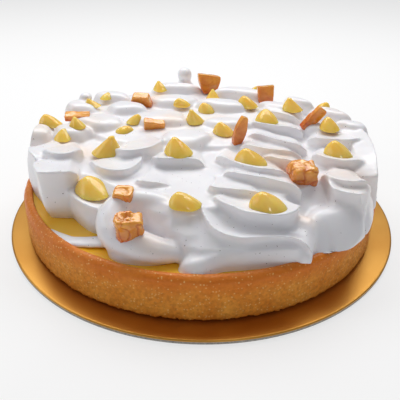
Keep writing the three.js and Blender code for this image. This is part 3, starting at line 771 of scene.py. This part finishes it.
meringue = add_piece("meringue_piped", [Vector(point) * MM for point in shell_points], shell_faces)
select_only(meringue)
voxels = meringue.modifiers.new("join", "REMESH")
voxels.mode = "VOXEL"
voxels.voxel_size = 0.75 * MM
bpy.ops.object.modifier_apply(modifier=voxels.name)


def wall_radius(x, y, z):
    """Outermost radius of the meringue at a height, with its slow bulges."""
    angle = math.atan2(y, x)
    radius = WALL[-1][1]
    if z <= WALL[0][0]:
        radius = WALL[0][1]
    for (low, inner), (high, outer) in zip(WALL, WALL[1:]):
        if low < z <= high:
            radius = inner + (outer - inner) * (z - low) / (high - low)
    middle, half_width, most, starts, takes = OVERHANG
    off = (math.degrees(angle) - middle) / half_width
    lower = max(0.0, min(1.0, (starts - z) / takes))
    radius += most * lower * math.exp(-off ** 4)
    lobes = 0.8 * math.sin(9 * angle) + 0.6 * math.sin(14 * angle + 1)
    return radius + lobes * (1 + DEEPER_BEHIND * max(math.sin(angle), 0))


count = len(meringue.data.vertices)
place = np.empty(count * 3)
meringue.data.vertices.foreach_get("co", place)
place = place.reshape(count, 3) / MM
edges = np.empty(len(meringue.data.edges) * 2, dtype=int)
meringue.data.edges.foreach_get("vertices", edges)
edges = edges.reshape(-1, 2)
degree = np.bincount(edges.ravel(), minlength=count).astype(float)


def neighbour_mean(values):
    """Mean of what the neighbours of each point have."""
    total = np.zeros_like(values)
    for axis in range(values.shape[1]):
        total[:, axis] = (np.bincount(edges[:, 0], values[edges[:, 1], axis], count)
                          + np.bincount(edges[:, 1], values[edges[:, 0], axis], count))
    return total / degree[:, None]


OUTER_RING = 98
for vertex in range(count):
    x, y, z = place[vertex]
    radius = math.hypot(x, y)
    if radius > OUTER_RING:
        most = wall_radius(x, y, z)
        if radius > most:
            place[vertex, 0] *= most / radius
            place[vertex, 1] *= most / radius

# The steps of the joined strokes are smoothed away without loss of size.
SMOOTH_ROUNDS = 16
for step in range(SMOOTH_ROUNDS):
    place += 0.5 * (neighbour_mean(place) - place)
    place -= 0.52 * (neighbour_mean(place) - place)
# Hollows are then filled softly, and the crisp lips are nearly left alone.
FILL_ROUNDS = 12
FILL_HOLLOWS = 0.75
EASE_LIPS = 0.1
normals = np.empty(count * 3)
for step in range(FILL_ROUNDS):
    meringue.data.vertices.foreach_set("co", (place * MM).ravel())
    meringue.data.update()
    meringue.data.vertices.foreach_get("normal", normals)
    shift = neighbour_mean(place) - place
    hollow = np.einsum("ij,ij->i", shift, normals.reshape(count, 3))
    share = np.where(hollow > 0, FILL_HOLLOWS, EASE_LIPS)
    place += shift * share[:, None]
# A slow unevenness of the whole surface, which stays clear of the crust's rim.
SLOW_SWELL = 0.35
QUICK_SWELL = 0.14
RIM_INSIDE = INNER_RADIUS + 0.6
LOWEST_OVER_RIM = RIM_TOP - 0.3
for vertex in range(count):
    x, y, z = place[vertex]
    spot = Vector((x, y, z))
    swell = SLOW_SWELL * noise.noise(spot * 0.06)
    swell += QUICK_SWELL * noise.noise(spot * 0.2 + Vector((3, 1, 8)))
    nx, ny, nz = normals[vertex * 3:vertex * 3 + 3]
    x, y, z = x + nx * swell, y + ny * swell, z + nz * swell
    from_crust = math.hypot(x - CRUST_MIDDLE[0], y)
    if from_crust > RIM_INSIDE:
        z = max(z, LOWEST_OVER_RIM)
    place[vertex] = (x, y, z)
meringue.data.vertices.foreach_set("co", (place * MM).ravel())
meringue.data.update()
MERINGUE_TRIANGLES = 190000
thin = meringue.modifiers.new("thin", "DECIMATE")
thin.ratio = min(1.0, MERINGUE_TRIANGLES / (2 * len(meringue.data.polygons)))
bpy.ops.object.modifier_apply(modifier=thin.name)
shade(meringue)

# Spots where the foam is tinted peach: x, y, z and how far the tint spreads.
PEACH_SPOTS = [
    (-116, 20, 52, 22), (-81, -20, 49, 12), (86, -51, 48, 14), (48, -34, 54, 13), (-23, 20, 58, 9),
    (-94, -9, 50, 10), (-77, 15, 56, 9), (-25, -104, 44, 9), (56, -82, 46, 5), (106, 49, 58, 14),
    (-36, 66, 58, 10), (12, 30, 57, 8),
]
count = len(meringue.data.vertices)
place = np.empty(count * 3)
meringue.data.vertices.foreach_get("co", place)
place = place.reshape(count, 3) / MM
peach_share = np.zeros(count)
for x, y, z, spread in PEACH_SPOTS:
    off = np.linalg.norm(place - np.array((x, y, z)), axis=1) / spread
    peach_share = np.maximum(peach_share, np.exp(-off ** 2))
peach_tint = meringue.data.attributes.new("peach_tint", "FLOAT", "POINT")
peach_tint.data.foreach_set("value", peach_share)

whipped, tree, shader = new_material("whipped_meringue")
cloud = noise_on(tree, 35, 3)
whites = two_tones(tree, cloud, 0.35, srgb(238, 237, 241), 0.7, srgb(247, 246, 248))
# The peach tint, strongest at those spots and broken up by the cloud.
peach_tint = tree.nodes.new("ShaderNodeAttribute")
peach_tint.attribute_name = "peach_tint"
uneven = combine(tree, "MULTIPLY", peach_tint.outputs["Fac"], cloud)
tinted = mix_colours(tree, uneven, whites, srgb(250, 214, 178))
tree.links.new(tinted, shader.inputs["Base Color"])
add_relief(tree, shader, noise_on(tree, 230, 4), 0.2, 0.5 * MM)
set_inputs(shader, {
    "Roughness": 0.36,
    "Specular IOR Level": 0.4,
    "Coat Weight": 0.3,
    "Coat Roughness": 0.12,
    "Subsurface Weight": 0.15,
    "Subsurface Radius": (1.0, 0.7, 0.5),
    "Subsurface Scale": 0.003,
})
paint(meringue, whipped)
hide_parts("meringue")
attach(meringue, "root")


# Vanilla specks: the ground pod stirred into the meringue, tiny dark flakes that lie
# in its surface wherever it shows. Each is a flat flake with five corners.
SPECK_COUNT = 620
SPECK_SIDES = 5
SPECK_HALF_WIDTH = 0.1 * MM
SPECK_SPREAD = 0.16 * MM


def scatter_on(piece, amount, seed, lowest):
    """Points with normals spread evenly over the upward faces of a piece."""
    draw = random.Random(seed)
    piece.data.calc_loop_triangles()
    triangles = []
    for triangle in piece.data.loop_triangles:
        if triangle.normal.z > -0.1 and triangle.center.z > lowest:
            triangles.append(triangle)
    total = []
    area = 0.0
    for triangle in triangles:
        area += triangle.area
        total.append(area)
    spots = []
    for triangle in draw.choices(triangles, cum_weights=total, k=amount):
        first, second, third = [piece.data.vertices[i].co for i in triangle.vertices]
        a, b = draw.random(), draw.random()
        if a + b > 1:
            a, b = 1 - a, 1 - b
        spot = first + (second - first) * a + (third - first) * b
        spots.append((spot, triangle.normal.copy()))
    return spots


draw = random.Random(11)
speck_points = []
speck_faces = []
for spot, normal in scatter_on(meringue, SPECK_COUNT, 5, 30 * MM):
    across = normal.orthogonal().normalized()
    across.rotate(Matrix.Rotation(draw.uniform(0, math.tau), 3, normal))
    lengthwise = normal.cross(across)
    wide = SPECK_HALF_WIDTH + SPECK_SPREAD * draw.random() ** 2
    long = wide * draw.uniform(1, 1.9)
    base = len(speck_points)
    for k in range(SPECK_SIDES):
        angle = k / SPECK_SIDES * math.tau
        reach = draw.uniform(0.8, 1.15)
        corner = across * wide * math.cos(angle) + lengthwise * long * math.sin(angle)
        speck_points.append(spot + reach * corner)
    speck_points.append(spot + normal * wide * 0.45)
    speck_points.append(spot - normal * wide * 0.6)
    for k in range(SPECK_SIDES):
        after = base + (k + 1) % SPECK_SIDES
        speck_faces.append((base + k, after, base + SPECK_SIDES))
        speck_faces.append((after, base + k, base + SPECK_SIDES + 1))
specks = add_piece("vanilla_specks", speck_points, speck_faces)
speck_dust, tree, shader = new_material("vanilla_dust")
mottle = noise_on(tree, 300, 2)
darks = two_tones(tree, mottle, 0.4, srgb(52, 44, 44), 0.65, srgb(120, 104, 98))
tree.links.new(darks, shader.inputs["Base Color"])
shader.inputs["Roughness"].default_value = 0.7
paint(specks, speck_dust)
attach(specks, "root")


# Curd drops: lemon curd piped from a small bag onto the meringue, each a soft mound
# whose tail was pulled up and fell a little to one side. Smooth and shiny.
# x, y, foot, width, height, how sharply its tail was pulled, and the way it leans.
CURD_DROPS = [
    (-105, 15, 56.5, 15, 9, 0.4, 170), (-84, 5, 59.5, 11, 8, 0.8, 150),
    (-92, -4, 55.1, 13, 7, 0.5, 90), (-83, 49, 58.3, 12, 7, 0.9, 180),
    (-75, 65, 59.4, 10, 5, 0.4, 60), (-35, 83, 60.4, 12, 8, 0.8, 120),
    (-48, 21, 57.2, 11, 7, 0.4, 20), (-54, 9, 55.6, 12, 5, 0.3, 0),
    (-60, -23, 52.7, 18, 14, 1, 10), (-16, 52, 59, 12, 7, 0.2, 200),
    (7, 70, 58.6, 11, 8, 0.9, 90), (3, 47, 56.4, 13, 8, 0.5, 180),
    (-6, 24, 56.3, 13, 11, 1, 170), (40, 81, 60.6, 9, 6, 0.6, 0),
    (33, 54, 58.2, 15, 9, 0.4, 150), (14, 6, 56.1, 14, 9, 0.5, 150),
    (44, 20.5, 59.6, 17, 9, 0.4, 100), (65, 44, 59.6, 15, 10, 0.9, 140),
    (89, 49, 60.5, 9, 5, 0.4, 0), (85, 8, 59.6, 14, 9, 0.5, 110),
    (84, -27, 56.7, 17, 10, 0.4, 140), (29, -40, 56.5, 19, 10, 0.5, 150),
    (-15, -30, 57.5, 18, 11, 0.7, 130), (35, -85, 52.7, 19, 10, 0.4, 160),
    (-9, -81, 51.6, 17, 8, 0.4, 160), (-62, -60, 46.2, 21, 10, 0.3, 135),
]
DROP_SIDES = 40
DROP_ROWS = 24
# Shares of a drop's size: the height where it is widest, and how far its top leans.
DROP_FULL = 0.2
DROP_LEAN = 0.42
# Its foot is drawn in under it: share of its radius, share of its height.
DROP_FOOT = [(0, 0), (0.45, 0), (0.62, 0.04), (0.78, 0.09), (0.92, 0.15)]
curd_shine, tree, shader = new_material("glossy_curd")
cloud = noise_on(tree, 110, 3)
yellows = two_tones(tree, cloud, 0.35, srgb(255, 200, 86), 0.68, srgb(255, 212, 110))
tree.links.new(yellows, shader.inputs["Base Color"])
add_relief(tree, shader, cloud, 0.25, 0.4 * MM)
set_inputs(shader, {
    "Roughness": 0.16,
    "Specular IOR Level": 0.5,
    "Subsurface Weight": 0.75,
    "Subsurface Radius": (1.0, 0.75, 0.25),
    "Subsurface Scale": 0.006,
})
for number, (x, y, foot, width, height, pulled, leans) in enumerate(CURD_DROPS, 1):
    draw = random.Random(100 + number)
    radius = width / 2
    lean = math.radians(leans)
    lobes = [draw.uniform(0, math.tau) for _ in range(3)]
    outline = [(share, rise * height) for share, rise in DROP_FOOT]
    for k in range(len(DROP_FOOT), DROP_ROWS + 1):
        rise = k / DROP_ROWS
        over = (rise - DROP_FULL) / (1 - DROP_FULL)
        closing = math.sqrt(1 - rise ** 14)
        dome = (1 - over ** 1.75) ** 0.72
        cone = (1 - 0.95 * over) ** 0.9 * closing
        nub = 0.12 * pulled * math.exp(-((rise - 0.95) / 0.05) ** 2) * closing
        outline.append((dome + (cone - dome) * pulled + nub, rise * height))
    points = []
    for share, z in outline[1:-1]:
        lift = DROP_LEAN * radius * max(z / height - DROP_FULL, 0) / (1 - DROP_FULL)
        middle_x = x + lift * math.cos(lean)
        middle_y = y + lift * math.sin(lean)
        for k in range(DROP_SIDES):
            angle = k / DROP_SIDES * math.tau
            uneven = 1 + 0.07 * math.cos(2 * (angle - lean)) + 0.035 * math.cos(3 * angle + lobes[1])
            uneven += 0.02 * math.cos(5 * angle + lobes[2] + z * 0.4)
            reach = radius * share * uneven
            out_x = reach * math.cos(angle)
            out_y = reach * math.sin(angle)
            points.append((middle_x + out_x, middle_y + out_y, foot + z))
    rows = len(outline) - 2
    top = (rows - 1) * DROP_SIDES
    points.append((x, y, foot))
    tip = DROP_LEAN * radius
    points.append((x + tip * math.cos(lean), y + tip * math.sin(lean), foot + height))
    faces = []
    for base in range(0, top, DROP_SIDES):
        above = base + DROP_SIDES
        for k in range(DROP_SIDES):
            after = (k + 1) % DROP_SIDES
            faces.append((base + k, base + after, above + after, above + k))
    for k in range(DROP_SIDES):
        after = (k + 1) % DROP_SIDES
        faces.append((len(points) - 2, after, k))
        faces.append((len(points) - 1, top + k, top + after))
    metres = [Vector(point) * MM for point in points]
    drop = add_piece("curd_drop_%02d_glossy" % number, metres, faces)
    shade(drop)
    paint(drop, curd_shine)
    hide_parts("curd_drop_%02d" % number)
    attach(drop, "root")


# Candied peel: cubes and strips of orange peel boiled in syrup, translucent amber,
# with creased faces, soft corners and a wet coat of syrup.
# x, y, z, length, width, height, turns about Z, Y and X in degrees, how crinkled it is,
# how much wider its top is, and how far it narrows to both ends.
PEELS = [
    (-37.5, -95, 47.5, 13.5, 11, 14, 20, 10, 15, 1.2, 0.1, 0),
    (-43, -72, 52.5, 11.5, 9, 8, -10, 0, 10, 0.7, -0.1, 0),
    (-34, 14, 58, 14, 6, 11, 15, 12, 20, 0.3, 0.15, 0.1),
    (-47, 56, 62, 15, 7, 10, -8, 0, 15, 0.4, -0.15, 0.1),
    (-88, 23, 61.5, 17, 8, 4, 4, 0, 8, 0.4, 0, 0),
    (4, 89, 65, 16, 6, 15, 12, 10, -5, 0.3, 0.3, 0.1),
    (48, 69, 63.7, 12, 4.5, 14, 5, -4, -8, 0.2, 0.1, 0),
    (24, -6, 64, 8, 4, 20, 20, 22, -5, 0.2, -0.1, 0.55),
    (75, 16, 65, 7, 5, 19, 10, 42, 0, 0.5, 0.1, 0.1),
    (58, -52, 57.5, 16, 13, 12, 12, 5, 10, 1.2, -0.05, 0),
]
syrup_peel, tree, shader = new_material("syrup_soaked_peel")
cloud = noise_on(tree, 170, 4, 0.6)
# Painted light and shade: each peel is painted lighter towards its top and darker towards its foot and
# in its creases, over a random cloud. The dark amber end of the ramp is painted shade.
depth = tree.nodes.new("ShaderNodeAttribute")
depth.attribute_name = "painted_light_share"
cloud_and_painted_light = combine(tree, "MULTIPLY_ADD", cloud, 0.6, depth.outputs["Fac"])
ambers = two_tones(tree, cloud_and_painted_light, 0.3, srgb(204, 94, 6), 0.95, srgb(254, 186, 80))
tree.links.new(ambers, shader.inputs["Base Color"])
add_relief(tree, shader, cloud, 0.2, 0.5 * MM)
set_inputs(shader, {
    "Roughness": 0.2,
    "Specular IOR Level": 0.35,
    "Coat Weight": 0.8,
    "Coat Roughness": 0.05,
    "Subsurface Weight": 0.4,
    "Subsurface Radius": (1.0, 0.45, 0.12),
    "Subsurface Scale": 0.004,
})
# How finely a cube is cut up, how far its folds go in and out, and half a crease's width
# on the scale of the noise that draws it.
PEEL_CUTS = 27
FOLD_DEPTH = 1.9
CREASE_HALF_WIDTH = 0.1
for number, row in enumerate(PEELS, 1):
    x, y, z, length, width, height, spin, lean, tip, crinkle, taper, narrow = row
    draw = random.Random(200 + number)
    deselect()
    bpy.ops.mesh.primitive_cube_add(size=1)
    peel = bpy.context.object
    peel.name = "candied_peel_%02d_syrup" % number
    peel.data.name = peel.name
    bpy.ops.object.mode_set(mode="EDIT")
    bpy.ops.mesh.select_all(action="SELECT")
    bpy.ops.mesh.subdivide(number_cuts=PEEL_CUTS)
    bpy.ops.mesh.select_all(action="DESELECT")
    bpy.ops.object.mode_set(mode="OBJECT")
    turned = Euler([math.radians(value) for value in (tip, lean, spin)], "XYZ").to_matrix()
    half = Vector((length, width, height)) / 2
    soft = min(half) * (0.22 + 0.2 * min(crinkle, 1))
    skew = draw.uniform(-0.15, 0.15)
    painted_light_share = peel.data.attributes.new("painted_light_share", "FLOAT", "POINT")
    for vertex in peel.data.vertices:
        part = vertex.co * 2
        spot = Vector([part[k] * half[k] for k in range(3)])
        core = Vector([max(-half[k] + soft, min(half[k] - soft, spot[k])) for k in range(3)])
        spot = core + (spot - core).normalized() * soft
        spot.x = spot.x * (1 + taper * part.z) * (1 - narrow * part.z ** 2) + skew * spot.z
        spot.y *= 1 - 0.6 * taper * part.z
        line = abs(noise.noise(spot * 0.14 + Vector((number * 5, 0, 0))))
        crease = max(0.0, 1 - line / CREASE_HALF_WIDTH)
        fold = 0.75 * noise.noise(spot * 0.2 + Vector((0, number * 3, 0))) - 0.3 * crease
        fold += 0.14 * abs(noise.noise(spot * 0.6)) + 0.06 * noise.noise(spot * 1.9)
        spot += spot.normalized() * crinkle * FOLD_DEPTH * fold
        # Share of painted light: it rises towards the top and drops in the creases, where shade is
        # painted.
        painted_light_share.data[vertex.index].value = 0.25 + 0.25 * part.z - 0.3 * min(crinkle, 1) * crease
        vertex.co = (turned @ spot + Vector((x, y, z))) * MM
    shade(peel)
    paint(peel, syrup_peel)
    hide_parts("candied_peel_%02d" % number)
    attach(peel, "root")
